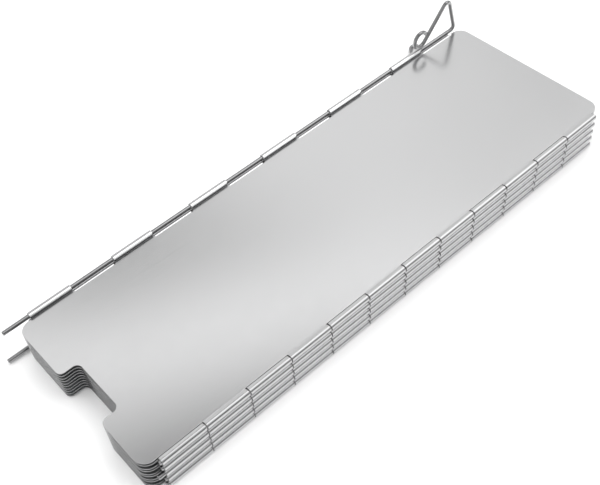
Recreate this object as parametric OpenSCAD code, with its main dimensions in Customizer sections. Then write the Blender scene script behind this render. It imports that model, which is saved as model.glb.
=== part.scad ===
// Folding stove windscreen: ten sheet aluminium plates hinged edge to edge on wire pins, folded
// zigzag into a flat pack, with a wire ground stake along each of the two free edges.
// X runs from the foot end, which stands on the ground in use, to the head end. The stakes are on
// the back edge, towards +Y, and the pack lies on the plane Z = 0.

/* [Plate] */
// Length of a plate from the foot end to the head end
plate_len = 240; // [180:1:320]
// Distance between the two hinge axes of a plate
axis_w = 81.6; // [60:0.1:120]
// Thickness of the aluminium sheet
sheet_t = 0.45; // [0.3:0.05:0.8]
// Radius of the plate's four corners
corner_r = 5; // [2:0.5:8]

/* [Foot notch] */
// Width of the notch that lets air and a gas hose in under the screen
notch_w = 25.4; // [16:0.2:40]
// Depth of the notch
notch_depth = 8; // [6:0.5:14]
// How far the notch's middle lies from the plate's middle, towards the front edge
notch_shift = 2; // [0:0.5:6]
// Radius at the notch's mouth and at its inner corners
notch_r = 2.4; // [1:0.1:2.8]

/* [Hinges] */
// Number of knuckle places along an edge, shared between two plates
slot_count = 12; // [8:2:16]
// Plain stretch of edge at each end, clear of the knuckles
end_margin = 6; // [5:0.5:10]
// Gap between neighbouring knuckles
knuckle_gap = 0.5; // [0.3:0.1:1]
// How far the knuckle's rolled end reaches onto the sheet, beyond the knuckle
lap_len = 0.25; // [0.1:0.05:1]
// Room between the edge of the sheet and the other plate's knuckle
knuckle_room = 0.2; // [0.15:0.05:0.6]
// Gap between two closed sheets at their hinge
leaf_gap = 0.1; // [0.1:0.05:0.3]
// Gap between neighbouring rows of knuckles at the back of the closed pack
row_gap = 0.3; // [0.3:0.1:1]

/* [Wire] */
// Diameter of the wire of the hinge pins and the stakes
wire_d = 1.8; // [1.4:0.1:2.4]
// Play between the wire and its knuckles, on the radius
wire_play = 0.05; // [0.03:0.01:0.1]
// Chamfer at a cut end of the wire
wire_chamfer = 0.25; // [0.1:0.05:0.4]
// How far a hinge pin stands out of its knuckles at each end
pin_reach = 0.6; // [0.4:0.1:1.5]
// How far the loose pin in the middle of the front edge has slipped towards the foot
loose_slip = 2; // [0:0.5:3]

/* [Stakes] */
// How far a stake's edge of the sheet is cut back between the knuckles, measured from the knuckles
stake_room = 1.1; // [0.6:0.1:1.5]
// Radius at the ends of these cuts
cut_r = 0.6; // [0.3:0.1:0.8]
// How far the upper stake's tip stands out past the foot of the plates
upper_tip = 5.2; // [2:0.1:15]
// How far the lower stake has been pushed further through than the upper one
lower_push = 2.8; // [0:0.1:10]
// Bare wire from the last knuckle to the corner of the handle
handle_bar = 22.5; // [20:0.5:40]
// Length of the handle's upright side, between its two corners
handle_rise = 20.2; // [18:0.2:30]
// Angle between the bar and the upright side
handle_angle = 75.5; // [65:0.5:90]
// Bend radius at the corner where the handle leaves the stake
foot_bend_r = 2; // [1.6:0.1:3]
// Bend radius at the top corner of the handle
top_bend_r = 2.2; // [1.6:0.1:3]
// Radius of the ring at the handle's end, to the middle of the wire
ring_r = 3.6; // [3.2:0.1:5]
// Gap between the ring and the knuckle below it
ring_gap = 0.3; // [0.2:0.1:1]
// Gap between the ring's cut end and the side of the handle
curl_gap = 0.2; // [0.1:0.05:0.6]

/* [Hidden] */
$fn = 48;
plate_count = 10;
loose_pin = 5;
aluminium = [0.79, 0.80, 0.81];
steel = [0.62, 0.63, 0.65];

// Rolled knuckle: the sheet goes once round the wire
wire_r = wire_d / 2;
bore_r = wire_r + wire_play;
knuckle_r = bore_r + sheet_t;
// Distance of a sheet's middle from its hinge axis, so that two closed sheets lie side by side
leaf_off = (sheet_t + leaf_gap) / 2;
sheet_edge = knuckle_r + knuckle_room;
// The rolled end runs straight off the roll, in which it starts a little way deep, and rests on the sheet
tail_dip = 0.03;
tail_end = [knuckle_r + lap_len, leaf_off + 1.5 * sheet_t];
tail_r = knuckle_r - tail_dip;
tail_angle = atan2(tail_end[1], tail_end[0]) + acos(tail_r / norm(tail_end));

// A wire is a little thinner in a bend, and its straight lengths run on into the bend this far
bend_thin = 0.01;
bend_grip = wire_chamfer + 5 * bend_thin;

// Places along the edge
slot_len = (plate_len - 2 * end_margin) / slot_count;
first_slot_x = end_margin - plate_len / 2;
// Head end of the last knuckle on an edge with a stake
last_knuckle_x = first_slot_x + (slot_count - 1) * slot_len;
// Width of a plate between its axes, measured along the sheet
sheet_w = sqrt(axis_w * axis_w - 4 * leaf_off * leaf_off);

// Heights of the knuckle rows: axis 0 is the upper stake, axes 1 to 9 are the hinges from the top of
// the pack down, and axis 10 is the lower stake. Odd axes are on the front edge, even ones behind.
back_pitch = 2 * knuckle_r + row_gap;
front_pitch = back_pitch * plate_count / (plate_count - 2);
function is_front(k) = k % 2 == 1;
function axis_z(k) = knuckle_r + (is_front(k)
    ? (plate_count - 1 - k) / 2 * front_pitch
    : (plate_count - k) / 2 * back_pitch);
function plate_reach(k) = sqrt(pow(axis_w, 2) - pow(axis_z(k) - axis_z(k - 1), 2));
function axis_y(k) = k == plate_count
    ? axis_w / 2
    : axis_y(k + 1) + (is_front(k) ? -1 : 1) * plate_reach(k + 1);

// Handle of a stake, drawn flat: u along the stake from the last knuckle's end, v away from it
rise_heading = 180 - handle_angle;
top_corner = [handle_bar + handle_rise * cos(rise_heading), handle_rise * sin(rise_heading)];
ring_middle = [0, knuckle_r + ring_gap + wire_r + ring_r];
to_ring = ring_middle - top_corner;
side_heading = atan2(to_ring[1], to_ring[0]) + 360 + asin(ring_r / norm(to_ring));
side_len = sqrt(pow(norm(to_ring), 2) - pow(ring_r, 2));
top_turn = side_heading - rise_heading;
foot_cut = foot_bend_r * tan(rise_heading / 2);
top_cut = top_bend_r * tan(top_turn / 2);
ring_turn = 360 - acos(1 - (wire_d + curl_gap) / ring_r);
tip_x = -plate_len / 2 - upper_tip;
handle_top = (handle_rise - top_cut) * sin(rise_heading)
    + top_bend_r * (1 + cos(rise_heading)) + wire_r;

// The origin is under the middle of the whole part's box
box_x = [tip_x - lower_push, plate_len / 2];
box_y = [axis_y(plate_count - 1) - knuckle_r, axis_y(plate_count) + handle_top];
module in_frame() {
    translate([-(box_x[0] + box_x[1]) / 2, -(box_y[0] + box_y[1]) / 2, 0]) children();
}

// A bar along X with chamfered ends
module cut_wire(length) {
    flat_r = wire_r - wire_chamfer;
    rotate([0, 90, 0]) rotate_extrude() polygon([
        [0, 0], [flat_r, 0], [wire_r, wire_chamfer],
        [wire_r, length - wire_chamfer], [flat_r, length], [0, length]
    ]);
}

// One bend that starts along X and turns up, or down when the turn is negative
module wire_bend(bend_r, turn) {
    mirror([0, 0, turn < 0 ? 1 : 0])
        translate([0, 0, bend_r]) rotate([0, 90, 0]) rotate([90, 0, 0])
            rotate_extrude(angle = abs(turn)) translate([bend_r, 0]) circle(wire_r - bend_thin);
}

// A bent wire, made as a wire bender makes it: each step is a feed, a bend radius and a turn.
// The straight lengths reach a little way into the bends.
module bent_wire(steps, i = 0) {
    feed = steps[i][0];
    bend_r = steps[i][1];
    turn = steps[i][2];
    start = i == 0 ? 0 : -bend_grip;
    translate([start, 0, 0]) cut_wire(feed + bend_grip - start);
    translate([feed, 0, 0]) {
        wire_bend(bend_r, turn);
        if (i + 1 < len(steps))
            translate([bend_r * sin(abs(turn)), 0, sign(turn) * bend_r * (1 - cos(turn))])
                rotate([0, -turn, 0]) bent_wire(steps, i + 1);
    }
}

// Corner cutter: what lies outside a quarter round, with the corner at the origin
module outside_round(r) {
    difference() {
        square(r);
        translate([r, r]) circle(r);
    }
}

// Foot notch with rounded mouth and inner corners, its middle on the Y axis and its mouth at Y = 0
module notch_outline() {
    difference() {
        translate([-notch_w / 2, -sheet_t]) square([notch_w, notch_depth + sheet_t]);
        for (side = [0, 1]) mirror([side, 0])
            translate([-notch_w / 2, notch_depth]) mirror([0, 1]) outside_round(notch_r);
    }
    for (side = [0, 1]) mirror([side, 0])
        translate([notch_w / 2, 0]) outside_round(notch_r);
}

// Cut between two knuckles of a stake, with its bottom on the X axis and round inner corners
module stake_cut() {
    difference() {
        square([slot_len, stake_room]);
        for (end = [0, 1]) translate([end * slot_len, 0]) mirror([end, 0]) outside_round(cut_r);
    }
}

// Outline of a plate's flat sheet, without the tabs that are rolled into knuckles
module sheet_outline(has_stake) {
    half_w = sheet_w / 2 - sheet_edge;
    difference() {
        translate([-plate_len / 2, -half_w]) square([plate_len, 2 * half_w]);
        for (end = [0, 1], edge = [0, 1]) mirror([end, 0]) mirror([0, edge])
            translate([-plate_len / 2, -half_w]) outside_round(corner_r);
        translate([-plate_len / 2, -notch_shift]) rotate(-90) notch_outline();
        if (has_stake) for (i = [1:2:slot_count - 1])
            translate([first_slot_x + i * slot_len, sheet_w / 2 - knuckle_r - stake_room]) stake_cut();
    }
}

// Section of a knuckle on its axis: the sheet comes in along X above the axis, goes round the wire,
// and its rolled end comes down onto the outside of the sheet
module knuckle_section() {
    difference() {
        union() {
            circle(knuckle_r);
            translate([0, leaf_off - sheet_t / 2]) square([sheet_edge + sheet_t, sheet_t]);
            polygon([
                [0, 0], tail_r * [cos(tail_angle), sin(tail_angle)],
                tail_end, tail_end - [0, sheet_t]
            ]);
        }
        circle(bore_r);
    }
}

// Row of knuckles along X, in every other place, with the sheet towards +Y and above the axis
module knuckle_row(first) {
    for (i = [first:2:slot_count - 1])
        translate([first_slot_x + i * slot_len + knuckle_gap / 2, 0, 0])
            rotate([90, 0, 90]) linear_extrude(slot_len - knuckle_gap) knuckle_section();
}

// A plate with its sheet level at Z = 0. Up is 1 where the front knuckles hang below the sheet and
// the back ones stand above it, and -1 for a plate of the other hand.
module plate_blank(up, front_first, back_first, has_stake) {
    translate([0, 0, -sheet_t / 2]) linear_extrude(sheet_t) sheet_outline(has_stake);
    mirror([0, 0, up > 0 ? 0 : 1]) {
        translate([0, -sheet_w / 2, -leaf_off]) knuckle_row(front_first);
        translate([0, sheet_w / 2, leaf_off]) mirror([0, 1, 0]) mirror([0, 0, 1]) knuckle_row(back_first);
    }
}

// Plate k of the folded pack, between axes k - 1 and k. Neighbours have their knuckles in turn, odd
// plates from place 0 and even ones from place 1. Both edges with stakes have them from place 0.
module plate(k) {
    up = is_front(k) ? 1 : -1;
    front = is_front(k) ? k : k - 1;
    back = is_front(k) ? k - 1 : k;
    front_first = is_front(k) ? 0 : 1;
    has_stake = k == 1 || k == plate_count;
    back_first = has_stake ? 0 : front_first;
    tilt = atan2(axis_z(back) - axis_z(front), axis_y(back) - axis_y(front));
    color(aluminium) in_frame()
        translate([0, axis_y(front), axis_z(front)])
            rotate([tilt - atan2(2 * up * leaf_off, sheet_w), 0, 0])
                translate([0, sheet_w / 2, up * leaf_off])
                    plate_blank(up, front_first, back_first, has_stake);
}

// Hinge pin k, a plain wire through the knuckles of plates k and k + 1
module hinge_pin(k) {
    slip = k == loose_pin ? loose_slip : 0;
    color(steel) in_frame()
        translate([first_slot_x - pin_reach - slip, axis_y(k), axis_z(k)])
            cut_wire(slot_count * slot_len + 2 * pin_reach);
}

// Ground stake on axis k: a long pin with a triangular handle that ends in a ring
module stake(k, push, lean) {
    bar = last_knuckle_x + handle_bar - tip_x;
    color(steel) in_frame()
        translate([tip_x - push, axis_y(k), axis_z(k)]) rotate([-lean, 0, 0])
            bent_wire([
                [bar - foot_cut, foot_bend_r, rise_heading],
                [handle_rise - foot_cut - top_cut, top_bend_r, top_turn],
                [side_len - top_cut, ring_r, -ring_turn]
            ]);
}

// The upper stake's handle stands upright, the lower one lies flat behind the pack
module upper_stake() { stake(0, 0, 0); }
module lower_stake() { stake(plate_count, lower_push, 90); }

for (k = [1:plate_count]) plate(k);
for (k = [1:plate_count - 1]) hinge_pin(k);
upper_stake();
lower_stake();
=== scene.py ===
# Folding stove windscreen, lying folded on a table: ten hinged plates, nine hinge pins, two stakes.
# Sizes are in millimetres and are brought to metres when a piece takes its place.
import math
import bpy
import bmesh
from mathutils import Matrix, Vector


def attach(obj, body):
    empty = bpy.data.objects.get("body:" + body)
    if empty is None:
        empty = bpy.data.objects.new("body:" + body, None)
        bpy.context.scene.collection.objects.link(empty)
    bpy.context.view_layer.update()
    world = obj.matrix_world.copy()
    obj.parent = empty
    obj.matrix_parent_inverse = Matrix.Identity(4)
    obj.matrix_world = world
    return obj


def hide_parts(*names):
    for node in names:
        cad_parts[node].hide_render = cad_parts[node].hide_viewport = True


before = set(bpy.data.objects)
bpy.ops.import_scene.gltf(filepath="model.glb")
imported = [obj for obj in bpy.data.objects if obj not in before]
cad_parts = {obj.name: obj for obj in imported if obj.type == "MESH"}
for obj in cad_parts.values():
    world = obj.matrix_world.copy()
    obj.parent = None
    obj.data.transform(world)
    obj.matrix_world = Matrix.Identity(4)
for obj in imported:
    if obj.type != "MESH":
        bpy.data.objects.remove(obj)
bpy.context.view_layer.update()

# Plates: ten alike pieces of thin aluminium sheet, blanked with round corners and an air notch at the
# foot. Tabs along both side edges are rolled into knuckles, in turn with those of the next plate.
# The mill finish is satin, with a fine grain along the plate from rolling.
mm = 0.001
plate_count, row_gap = 10, 0.3
plate_len, axis_w, sheet_t = 240, 81.6, 0.45
corner_r, edge_round = 5, 0.09
notch_w, notch_depth, notch_shift, notch_r = 25.4, 8, 2, 2.4
wire_r, wire_play = 0.9, 0.05
bore_r = wire_r + wire_play
knuckle_r = bore_r + sheet_t
leaf_off, sheet_edge = 0.7, 1.5
stake_cut, cut_r = 2.3, 0.6
slot_count, end_margin, knuckle_gap = 12, 6, 0.5
corner_steps, notch_steps, cut_steps = 14, 12, 6
slot_len = (plate_len - 2 * end_margin) / slot_count
first_slot_x = end_margin - plate_len / 2
sheet_w = math.sqrt(axis_w ** 2 - 4 * leaf_off ** 2)
back_pitch = 2 * knuckle_r + row_gap
front_pitch = back_pitch * plate_count / (plate_count - 2)
# From the middle of the bottom plate to the middle of the box round the folded pack
pack_shift = Vector((4, -8.416722, 0))


def axis_height(k):
    if k % 2:
        return knuckle_r + (plate_count - 1 - k) / 2 * front_pitch
    return knuckle_r + (plate_count - k) / 2 * back_pitch


def axis_place(k):
    # Hinge axes are counted from the upper stake down: odd ones in front, even ones behind
    y = axis_w / 2
    for below in range(plate_count, k, -1):
        reach = math.sqrt(axis_w ** 2 - (axis_height(below) - axis_height(below - 1)) ** 2)
        y += -reach if below % 2 == 0 else reach
    return Vector((0, y, axis_height(k))) + pack_shift


def arc(middle, r, start, end, steps):
    turns = [math.radians(start + (end - start) * i / steps) for i in range(steps + 1)]
    return [(middle[0] + r * math.cos(t), middle[1] + r * math.sin(t)) for t in turns]


def sheet_outline(inset, has_stake):
    foot, side, middle = plate_len / 2, sheet_w / 2 - sheet_edge, -notch_shift
    cx, cy, r = foot - corner_r, side - corner_r, corner_r - inset
    mouth, inner = notch_w / 2 + notch_r, notch_w / 2 - notch_r
    mouth_x, inner_x = notch_r - foot, notch_depth - notch_r - foot
    cuts = []
    for i in range(slot_count - 1, 0, -2) if has_stake else ():
        # The edge along a stake is cut back between the knuckles
        low_x, y = first_slot_x + i * slot_len, sheet_w / 2 - stake_cut
        high_x = low_x + slot_len
        cuts.append((high_x + inset, side - inset))
        cuts += arc((high_x - cut_r, y + cut_r), cut_r + inset, 0, -90, cut_steps)
        cuts += arc((low_x + cut_r, y + cut_r), cut_r + inset, -90, -180, cut_steps)
        cuts.append((low_x - inset, side - inset))
    return (
        arc((cx, -cy), r, -90, 0, corner_steps) + arc((cx, cy), r, 0, 90, corner_steps)
        + cuts + arc((-cx, cy), r, 90, 180, corner_steps)
        + arc((mouth_x, middle + mouth), notch_r - inset, 180, 270, notch_steps)
        + arc((inner_x, middle + inner), notch_r + inset, 90, 0, notch_steps)
        + arc((inner_x, middle - inner), notch_r + inset, 0, -90, notch_steps)
        + arc((mouth_x, middle - mouth), notch_r - inset, 90, 180, notch_steps)
        + arc((-cx, -cy), r, 180, 270, corner_steps)
    )


def closed_rings(name, rings):
    # A solid from rings of like points, closed by a face at each end
    mesh = bpy.data.meshes.new(name)
    build = bmesh.new()
    loops = [[build.verts.new(point) for point in ring] for ring in rings]
    count = len(loops[0])
    for low, high in zip(loops, loops[1:]):
        for i in range(count):
            j = (i + 1) % count
            build.faces.new((low[i], low[j], high[j], high[i]))
    build.faces.new(loops[0][::-1])
    build.faces.new(loops[-1])
    bmesh.ops.recalc_face_normals(build, faces=build.faces)
    build.to_mesh(mesh)
    build.free()
    return mesh


def flat_sheet(has_stake):
    # Blanking leaves the sheet's rim slightly rounded on both faces
    half = sheet_t / 2
    rings = []
    for degrees in (0, 45, 90):
        turn = math.radians(degrees)
        rings.append((edge_round * (1 - math.sin(turn)), half - edge_round * (1 - math.cos(turn))))
    rings = [(inset, -z) for inset, z in rings] + [(inset, z) for inset, z in reversed(rings)]
    outlines = [[(x, y, z) for x, y in sheet_outline(inset, has_stake)] for inset, z in rings]
    mesh = closed_rings("flat sheet", outlines)
    # How far each ring is part of the torn rim, whose dark tone is partly painted shade: nothing on the faces, a
    # little on the rounding
    torn_rim_and_shade_shares = (0.0, 0.25, 1.0, 1.0, 0.25, 0.0)
    torn_rim_and_shade = mesh.attributes.new("torn_rim_and_shade", "FLOAT", "POINT")
    torn_rim_and_shade.data.foreach_set("value", [share for share in torn_rim_and_shade_shares for point in outlines[0]])
    return mesh


def roll_path():
    # Middle of the rolled strip, seen along the axis: in from the sheet over the wire, once round it,
    # and off the roll in a short straight end with a last small bend outwards
    mid_r, wrap_start, wrap_end, wrap_steps = bore_r + sheet_t / 2, 62, 296, 46
    lead_steps, lead_bend = 6, 1.6
    straight_end = [(0.8, -0.93), (0.98, -0.86), (1.15, -0.845)]
    wrap = arc((0, 0), mid_r, wrap_start, wrap_end, wrap_steps)
    run, rise = sheet_edge - wrap[0][0], wrap[0][1] - leaf_off
    lead = [(sheet_edge + sheet_t, leaf_off)]
    for i in range(lead_steps):
        share = i / lead_steps
        lead.append((sheet_edge - run * share, leaf_off + rise * share ** lead_bend))
    return lead + wrap + straight_end


def strip(path, thickness):
    # Closed outline of a strip of even thickness along a path
    sides = ([], [])
    for i, point in enumerate(path):
        before, after = Vector(path[max(i - 1, 0)]), Vector(path[min(i + 1, len(path) - 1)])
        along = (after - before).normalized()
        across = Vector((-along.y, along.x)) * thickness / 2
        sides[0].append(Vector(point) + across)
        sides[1].append(Vector(point) - across)
    return sides[0] + sides[1][::-1]


def knuckle_mesh():
    # One knuckle along its axis, slightly eased at both cut ends
    half, ease, end_torn_rim_and_shade = (slot_len - knuckle_gap) / 2, 0.05, 0.6
    flat_above, dulling_and_shade_depth = 0.5, 1.2
    rings = []
    for x, loss in ((-half, ease), (ease - half, 0), (half - ease, 0), (half, ease)):
        rings.append([(x, u, v) for u, v in strip(roll_path(), sheet_t - loss)])
    mesh = closed_rings("one knuckle", rings)
    # How far the metal has been worked by the rolling, which also sets how much painted shade darkens the
    # knuckle: nothing on the flat, all of it past the crest
    rolled_dulling_and_shade = mesh.attributes.new("rolled_dulling_and_shade", "FLOAT", "POINT")
    rolled_dulling_and_shade.data.foreach_set("value", [
        min(max((flat_above - vert.co.y) / dulling_and_shade_depth, 0), 1) for vert in mesh.vertices])
    # The cut ends are less torn than the sheet's own rim, and get less of its painted shade
    torn_rim_and_shade = mesh.attributes.new("torn_rim_and_shade", "FLOAT", "POINT")
    torn_rim_and_shade.data.foreach_set("value", [
        end_torn_rim_and_shade if abs(vert.co.x) > half - ease / 2 else 0.0 for vert in mesh.vertices])
    return mesh


class Shade:
    # A shader value that takes part in sums: each sum adds one Math node
    def __init__(self, finish, socket):
        self.finish, self.socket = finish, socket

    def sum(self, operation, first, second):
        return self.finish.node("ShaderNodeMath", {"operation": operation}, {0: first, 1: second})

    def __add__(self, other): return self.sum("ADD", self, other)
    def __radd__(self, other): return self.sum("ADD", other, self)
    def __rsub__(self, other): return self.sum("SUBTRACT", other, self)
    def __mul__(self, other): return self.sum("MULTIPLY", self, other)
    def __rmul__(self, other): return self.sum("MULTIPLY", other, self)
    def __truediv__(self, other): return self.sum("DIVIDE", self, other)


class Finish:
    # The nodes of one material, or of the studio's light
    def __init__(self, owner):
        self.owner = owner
        owner.use_nodes = True
        self.tree = owner.node_tree
        self.tree.nodes.clear()

    def node(self, kind, settings=None, sockets=None, out=0):
        made = self.tree.nodes.new(kind)
        for key, value in (settings or {}).items():
            setattr(made, key, value)
        for key, value in (sockets or {}).items():
            if isinstance(value, Shade):
                self.tree.links.new(value.socket, made.inputs[key])
            else:
                made.inputs[key].default_value = value
        return Shade(self, made.outputs[out]) if made.outputs else None

    def mix(self, factor, first, second):
        return self.node("ShaderNodeMix", {"data_type": "RGBA"}, {0: factor, 6: first, 7: second}, 2)

    def noise(self, place, scale, detail=2, roughness=0.5):
        return self.node("ShaderNodeTexNoise", None, {
            "Vector": place, "Scale": scale, "Detail": detail, "Roughness": roughness})

    def stretched(self, scale=(1, 1, 1)):
        # Object coordinates, drawn out where an axis has the smaller scale
        place = self.node("ShaderNodeTexCoord", None, None, "Object")
        return self.node("ShaderNodeMapping", None, {"Vector": place, "Scale": scale})

    def surface(self, sockets):
        shader = self.node("ShaderNodeBsdfPrincipled", None, sockets)
        self.node("ShaderNodeOutputMaterial", None, {"Surface": shader})
        return self.owner


def satin_aluminium():
    mill_dark, mill_light = (0.80, 0.802, 0.808, 1), (0.88, 0.881, 0.884, 1)
    # The rolled and the torn tones are darker than the mill finish partly as painted shade
    rolled_and_shade_tone, torn_and_shade_tone = (0.55, 0.55, 0.555, 1), (0.18, 0.18, 0.184, 1)
    grain_pull, haze_scale, rub_scale = (60, 2600, 2600), 16, 240
    finish = Finish(bpy.data.materials.new("satin aluminium"))
    grain = finish.noise(finish.stretched(grain_pull), 1, 3, 0.6)
    haze = finish.noise(finish.stretched(), haze_scale, 3, 0.5)
    rub = finish.noise(finish.stretched(), rub_scale, 3, 0.6)
    tone = finish.mix(grain * 0.5 + haze * 0.5, mill_dark, mill_light)
    # Rolling dulls the knuckles; their darker tone past the crest is partly painted shade, on the rolls and in
    # the gaps between the rows
    rolled_dulling_and_shade = finish.node("ShaderNodeAttribute", {"attribute_name": "rolled_dulling_and_shade"}, None, "Fac")
    tone = finish.mix(rolled_dulling_and_shade, tone, rolled_and_shade_tone)
    # The sheared rim is torn and dark; its dark tone is partly painted shade on the edge faces
    torn_rim_and_shade = finish.node("ShaderNodeAttribute", {"attribute_name": "torn_rim_and_shade"}, None, "Fac")
    tone = finish.mix(torn_rim_and_shade, tone, torn_and_shade_tone)
    height = finish.node("ShaderNodeBump", None, {"Strength": 0.05, "Distance": 0.00002, "Height": grain})
    return finish.surface({
        "Base Color": tone, "Metallic": 1.0, "Normal": height,
        "Roughness": 0.15 + 0.04 * haze + 0.03 * rub + 0.02 * grain + 0.05 * rolled_dulling_and_shade + 0.2 * torn_rim_and_shade})


def join_tree(name, inputs):
    # Start of a Geometry Nodes tree with named inputs
    tree = bpy.data.node_groups.new(name, "GeometryNodeTree")
    tree.interface.new_socket("Geometry", in_out="INPUT", socket_type="NodeSocketGeometry")
    for label, kind in inputs:
        tree.interface.new_socket(label, in_out="INPUT", socket_type="NodeSocket" + kind)
    tree.interface.new_socket("Geometry", in_out="OUTPUT", socket_type="NodeSocketGeometry")

    def node(kind, sockets=None, **settings):
        made = tree.nodes.new(kind)
        for key, value in settings.items():
            setattr(made, key, value)
        for key, value in (sockets or {}).items():
            for one in value if isinstance(value, list) else [value]:
                if isinstance(one, bpy.types.NodeSocket):
                    tree.links.new(one, made.inputs[key])
                else:
                    made.inputs[key].default_value = one
        return made.outputs

    given = node("NodeGroupInput")
    return tree, node, given


def grown(name, mesh, tree, inputs, place):
    # An object whose tree has run: a plain mesh that stands in its place, with nothing left live
    sharp_angle = 20
    piece = bpy.data.objects.new(name, mesh)
    bpy.context.scene.collection.objects.link(piece)
    growth = piece.modifiers.new("growth", "NODES")
    growth.node_group = tree
    sockets = {item.name: item.identifier for item in tree.interface.items_tree if item.in_out == "INPUT"}
    for label, value in inputs.items():
        growth[sockets[label]] = value
    seen = piece.evaluated_get(bpy.context.evaluated_depsgraph_get())
    whole = bpy.data.meshes.new_from_object(seen)
    piece.modifiers.clear()
    piece.data = whole
    whole.name = name
    whole.transform(Matrix.Scale(mm, 4) @ place)
    whole.shade_smooth()
    whole.set_sharp_from_angle(angle=math.radians(sharp_angle))
    return piece


def knuckle_rows():
    # The sheet with a row of knuckles in every other place along its front and its back edge
    tree, node, given = join_tree("knuckle rows", [
        ("Knuckle", "Object"), ("Count", "Int"), ("Spacing", "Float"), ("Front place", "Vector"),
        ("Front turn", "Vector"), ("Back place", "Vector"), ("Back turn", "Vector"), ("Finish", "Material")])
    knuckle = node("GeometryNodeObjectInfo", {"Object": given["Knuckle"]})["Geometry"]
    step = node("ShaderNodeCombineXYZ", {"X": given["Spacing"]})["Vector"]
    parts = [given["Geometry"]]
    for edge in ("Front", "Back"):
        row = node("GeometryNodeMeshLine", {
            "Count": given["Count"], "Start Location": given[edge + " place"], "Offset": step})["Mesh"]
        turn = node("FunctionNodeEulerToRotation", {"Euler": given[edge + " turn"]})["Rotation"]
        parts.append(node("GeometryNodeInstanceOnPoints", {
            "Points": row, "Instance": knuckle, "Rotation": turn})["Instances"])
    joined = node("GeometryNodeJoinGeometry", {"Geometry": parts})["Geometry"]
    solid = node("GeometryNodeRealizeInstances", {"Geometry": joined})["Geometry"]
    done = node("GeometryNodeSetMaterial", {"Geometry": solid, "Material": given["Finish"]})["Geometry"]
    node("NodeGroupOutput", {"Geometry": done})
    return tree


aluminium = satin_aluminium()
rows = knuckle_rows()
half_turn = math.pi
one_knuckle = bpy.data.objects.new("one knuckle", knuckle_mesh())
bpy.context.scene.collection.objects.link(one_knuckle)
for k in range(1, plate_count + 1):
    odd = k % 2 == 1
    up = 1 if odd else -1
    front, back = (axis_place(k), axis_place(k - 1)) if odd else (axis_place(k - 1), axis_place(k))
    tilt = math.atan2(back.z - front.z, back.y - front.y) - math.atan2(2 * up * leaf_off, sheet_w)
    place = (Matrix.Translation(front) @ Matrix.Rotation(tilt, 4, "X")
             @ Matrix.Translation((0, sheet_w / 2, up * leaf_off)))
    # Odd plates start at the second place in front and at the first behind, even ones the other way
    # round, apart from the bottom one, whose back edge is free and like the top one's
    front_first = 1 if odd else 0
    back_first = 0 if odd or k == plate_count else 1
    plate = grown("plate_%d_sheet" % k, flat_sheet(k in (1, plate_count)), rows, {
        "Knuckle": one_knuckle, "Count": slot_count // 2, "Spacing": float(2 * slot_len),
        "Front place": (first_slot_x + (front_first + 0.5) * slot_len, -sheet_w / 2, -up * leaf_off),
        "Front turn": (0.0, 0.0, 0.0) if odd else (0.0, half_turn, 0.0),
        "Back place": (first_slot_x + (back_first + 0.5) * slot_len, sheet_w / 2, up * leaf_off),
        "Back turn": (half_turn, 0.0, 0.0) if odd else (0.0, 0.0, half_turn),
        "Finish": aluminium}, place)
    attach(plate, "plate_%d" % k)
    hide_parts("plate_%d" % k)
bpy.data.objects.remove(one_knuckle)

# Hinge pins: nine straight lengths of drawn steel wire, cut with a small chamfer at both ends.
# Each is pushed through the knuckles of two plates, and is held by their grip alone.
wire_chamfer, pin_reach, loose_pin, loose_slip = 0.25, 0.6, 5, 2
pin_spans, pin_sides = 12, 40
pin_tones, pin_roughness = ((0.30, 0.30, 0.305, 1), (0.42, 0.42, 0.425, 1)), 0.14


def drawn_steel(name, tones, roughness):
    # Fine lines along the wire from the drawing die, and a faint cloud of handling
    line_pull, cloud_scale = (40, 4200, 4200), 180
    finish = Finish(bpy.data.materials.new(name))
    lines = finish.noise(finish.stretched(line_pull), 1, 3, 0.6)
    cloud = finish.noise(finish.stretched(), cloud_scale, 3, 0.6)
    tone = finish.mix(lines * 0.5 + cloud * 0.5, tones[0], tones[1])
    height = finish.node("ShaderNodeBump", None, {"Strength": 0.15, "Distance": 0.00002, "Height": lines})
    return finish.surface({
        "Base Color": tone, "Metallic": 1.0, "Normal": height,
        "Roughness": roughness + 0.06 * cloud + 0.05 * lines})


def round_wire():
    # A round wire along a path of points, each with its share of the full radius
    tree, node, given = join_tree("round wire", [
        ("Radius", "Float"), ("Sides", "Int"), ("Finish", "Material")])
    share = node("GeometryNodeInputNamedAttribute", {"Name": "share"}, data_type="FLOAT")["Attribute"]
    path = node("GeometryNodeMeshToCurve", {"Mesh": given["Geometry"]})["Curve"]
    section = node("GeometryNodeCurvePrimitiveCircle", {
        "Resolution": given["Sides"], "Radius": given["Radius"]}, mode="RADIUS")["Curve"]
    swept = node("GeometryNodeCurveToMesh", {
        "Curve": path, "Profile Curve": section, "Scale": share, "Fill Caps": True})["Mesh"]
    solid = node("GeometryNodeRealizeInstances", {"Geometry": swept})["Geometry"]
    done = node("GeometryNodeSetMaterial", {"Geometry": solid, "Material": given["Finish"]})["Geometry"]
    node("NodeGroupOutput", {"Geometry": done})
    return tree


def wire_path(points):
    # The path as a mesh of edges, drawn in at both ends for the chamfer
    first, last = Vector(points[0]), Vector(points[-1])
    lead = (Vector(points[1]) - first).normalized() * wire_chamfer
    trail = (Vector(points[-2]) - last).normalized() * wire_chamfer
    whole = [first, first + lead, *(Vector(p) for p in points[1:-1]), last + trail, last]
    mesh = bpy.data.meshes.new("wire path")
    mesh.from_pydata(whole, [(i, i + 1) for i in range(len(whole) - 1)], [])
    share = mesh.attributes.new("share", "FLOAT", "POINT")
    end_share = (wire_r - wire_chamfer) / wire_r
    share.data.foreach_set("value", [end_share] + [1.0] * (len(whole) - 2) + [end_share])
    return mesh


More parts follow.
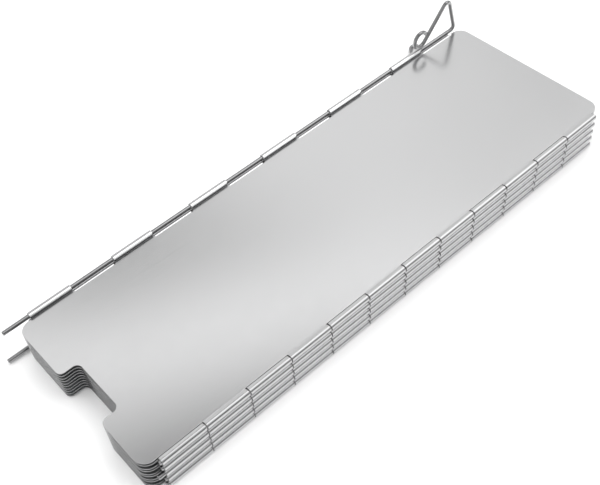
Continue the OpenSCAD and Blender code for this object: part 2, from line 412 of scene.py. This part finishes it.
wire = round_wire()
pin_steel = drawn_steel("drawn pin wire", pin_tones, pin_roughness)
for k in range(1, plate_count):
    slip = loose_slip if k == loose_pin else 0
    start = first_slot_x - pin_reach - slip
    end = start + slot_count * slot_len + 2 * pin_reach
    stations = [start + (end - start) * i / pin_spans for i in range(pin_spans + 1)]
    pin = grown("hinge_pin_%d_wire" % k, wire_path([(x, 0, 0) for x in stations]), wire, {
        "Radius": wire_r, "Sides": pin_sides, "Finish": pin_steel}, Matrix.Translation(axis_place(k)))
    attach(pin, "plate_%d" % (k + 1))
    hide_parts("hinge_pin_%d" % k)

# Ground stakes: two long pins of the same wire, bent at the head into a triangular handle that ends
# in a small ring. Each runs through the knuckles of a free edge and is pushed into the ground in use.
upper_tip, lower_push, handle_bar, handle_rise, handle_angle = 5.2, 2.8, 22.5, 20.2, 75.5
foot_bend_r, top_bend_r, ring_r, ring_gap, curl_gap = 2, 2.2, 3.6, 0.3, 0.2
stake_sides, bend_step, fewest_steps = 48, 6, 8
stake_tones, stake_roughness = ((0.30, 0.30, 0.305, 1), (0.44, 0.44, 0.445, 1)), 0.10
last_knuckle_x = first_slot_x + (slot_count - 1) * slot_len


def handle_steps():
    # The bender's list for a stake: feed, bend radius and turn in degrees
    rise = 180 - handle_angle
    lean = math.radians(rise)
    top = (handle_bar + handle_rise * math.cos(lean), handle_rise * math.sin(lean))
    to_ring = (-top[0], knuckle_r + ring_gap + wire_r + ring_r - top[1])
    reach = math.hypot(*to_ring)
    side = math.degrees(math.atan2(to_ring[1], to_ring[0])) + 360 + math.degrees(math.asin(ring_r / reach))
    side_len = math.sqrt(reach ** 2 - ring_r ** 2)
    foot_cut = foot_bend_r * math.tan(math.radians(rise / 2))
    top_cut = top_bend_r * math.tan(math.radians((side - rise) / 2))
    ring_turn = 360 - math.degrees(math.acos(1 - (2 * wire_r + curl_gap) / ring_r))
    tip_x = -plate_len / 2 - upper_tip
    return [
        (last_knuckle_x + handle_bar - tip_x - foot_cut, foot_bend_r, rise),
        (handle_rise - foot_cut - top_cut, top_bend_r, side - rise),
        (side_len - top_cut, ring_r, -ring_turn)]


def bent_path(steps):
    # Points along the bent wire, in its own plane
    points, here, heading = [(0.0, 0.0)], Vector((0, 0)), 0.0
    for feed, bend_r, turn in steps:
        along = Vector((math.cos(heading), math.sin(heading)))
        here = here + along * feed
        points.append(tuple(here))
        sense = 1 if turn > 0 else -1
        middle = here + Vector((-along.y, along.x)) * bend_r * sense
        count = max(fewest_steps, round(abs(turn) / bend_step))
        for i in range(1, count + 1):
            swing = Matrix.Rotation(math.radians(turn) * i / count, 2)
            points.append(tuple(middle + swing @ (here - middle)))
        here = Vector(points[-1])
        heading += math.radians(turn)
    return points


stake_steel = drawn_steel("drawn stake wire", stake_tones, stake_roughness)
for name, axis, push, lean in (("upper_stake", 0, 0, 0), ("lower_stake", plate_count, lower_push, 90)):
    start = Vector((-plate_len / 2 - upper_tip - push, 0, 0)) + axis_place(axis)
    place = Matrix.Translation(start) @ Matrix.Rotation(math.radians(-lean), 4, "X")
    stake = grown(name + "_wire", wire_path([(u, 0, v) for u, v in bent_path(handle_steps())]), wire, {
        "Radius": wire_r, "Sides": stake_sides, "Finish": stake_steel}, place)
    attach(stake, name)
    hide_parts(name)

# Studio: a plain pale table top, a room of soft panels that the metal mirrors, a lamp above the
# table, and the camera. Nothing here is fixed to the part.
floor_half = 4.0
floor_mesh = bpy.data.meshes.new("table top")
floor_mesh.from_pydata(
    [(x * floor_half, y * floor_half, 0) for x, y in ((-1, -1), (1, -1), (1, 1), (-1, 1))], [], [(0, 1, 2, 3)])
floor = bpy.data.objects.new("table_top", floor_mesh)
bpy.context.scene.collection.objects.link(floor)
table = Finish(bpy.data.materials.new("pale table top"))
floor_mesh.materials.append(table.surface({"Base Color": (0.93, 0.93, 0.93, 1), "Roughness": 0.9}))

room = Finish(bpy.data.worlds.new("studio"))
outward = room.node("ShaderNodeTexCoord", None, None, "Generated")


def along(direction):
    return room.node("ShaderNodeVectorMath", {"operation": "DOT_PRODUCT"}, {0: outward, 1: direction}, "Value")


def panel(azimuth, elevation, half_angles, blur, swing=0):
    # Share of a soft-edged panel in the light from each direction, by its middle, half sizes and blurs,
    # all in degrees. A swing turns it sideways from there.
    turn = (Matrix.Rotation(math.radians(azimuth), 3, "Z") @ Matrix.Rotation(math.radians(-elevation), 3, "Y")
            @ Matrix.Rotation(math.radians(swing), 3, "Z"))
    facing = along(turn @ Vector((1, 0, 0)))
    ahead = room.node("ShaderNodeMath", {"operation": "MAXIMUM"}, {0: facing, 1: 0.02})
    share = None
    for side, half, soft in zip((Vector((0, 1, 0)), Vector((0, 0, 1))), half_angles, blur):
        offset = room.node("ShaderNodeMath", {"operation": "ABSOLUTE"}, {0: along(turn @ side) / ahead})
        angle = room.node("ShaderNodeMath", {"operation": "ARCTANGENT"}, {0: offset})
        edge = room.node("ShaderNodeMapRange", {"interpolation_type": "SMOOTHSTEP"}, {
            "Value": angle, "From Min": math.radians(half - soft), "From Max": math.radians(half + soft),
            "To Min": 1.0, "To Max": 0.0})
        share = edge if share is None else share * edge
    return share


# The top plate mirrors a pale wall with a grey end, a dark ceiling and a dark gap in two lengths
room_glow, wall_glow = 0.8, 0.23
glow = room_glow + wall_glow * panel(50, 52, (31, 20), (11, 9))
for depth, shade in (
        (0.22, panel(24, 41, (12, 12), (7, 7))), (0.84, panel(70, 68, (24, 10.5), (3, 1))),
        (0.95, panel(71, 47.3, (6, 2.2), (5, 1.5))), (0.6, panel(58, 48.6, (5, 1.2), (5, 1.4)))):
    glow = glow * (1 - depth * shade)
# A strip of light above the gap, and a large lamp overhead, which the crests of the knuckles mirror
for strength, light in (
        (0.85, panel(59, 52.8, (18, 1.3), (8, 2.2))), (1.4, panel(-90, 80, (22, 25), (6, 6), 25))):
    glow = glow + strength * light
# In front of the pack the room is dim, in a wide band low down and in a tall strip
for depth, shade in ((0.75, panel(-78, 10, (38, 14), (14, 8))), (0.42, panel(-90, 45, (14, 40), (10, 10)))):
    glow = glow * (1 - depth * shade)
room.node("ShaderNodeOutputWorld", None, {"Surface": room.node("ShaderNodeBackground", None, {"Strength": glow})})
bpy.context.scene.world = room.owner

# A lamp for the table top, kept out of the metal's reflections, which the panels give
table_lamp = bpy.data.lights.new("table light", "AREA")
table_lamp.size, table_lamp.energy = 6, 150
table_light = bpy.data.objects.new("table light", table_lamp)
table_light.location = (0, 0, 3)
table_light.visible_glossy = False
bpy.context.scene.collection.objects.link(table_light)
bpy.context.scene.view_settings.view_transform = "Standard"

# The camera looks down from in front of the foot end
image_w, focal_px = 600, 972.02
eye = Vector((-161.12, -200.371, 304.824)) * mm
right = Vector((0.74037123, -0.66940554, -0.06121003))
upward = Vector((0.54680732, 0.54679939, 0.6340443))
forward = Vector((0.39096317, 0.50289826, -0.77087039))
lens = bpy.data.cameras.new("camera")
lens.sensor_fit, lens.sensor_width = "HORIZONTAL", 36
lens.lens = focal_px / image_w * lens.sensor_width
lens.clip_start, lens.clip_end = 0.01, 50
camera = bpy.data.objects.new("camera", lens)
turn = Matrix((right, upward, -forward)).transposed().to_4x4()
camera.matrix_world = Matrix.Translation(eye) @ turn
bpy.context.scene.collection.objects.link(camera)
bpy.context.scene.camera = camera
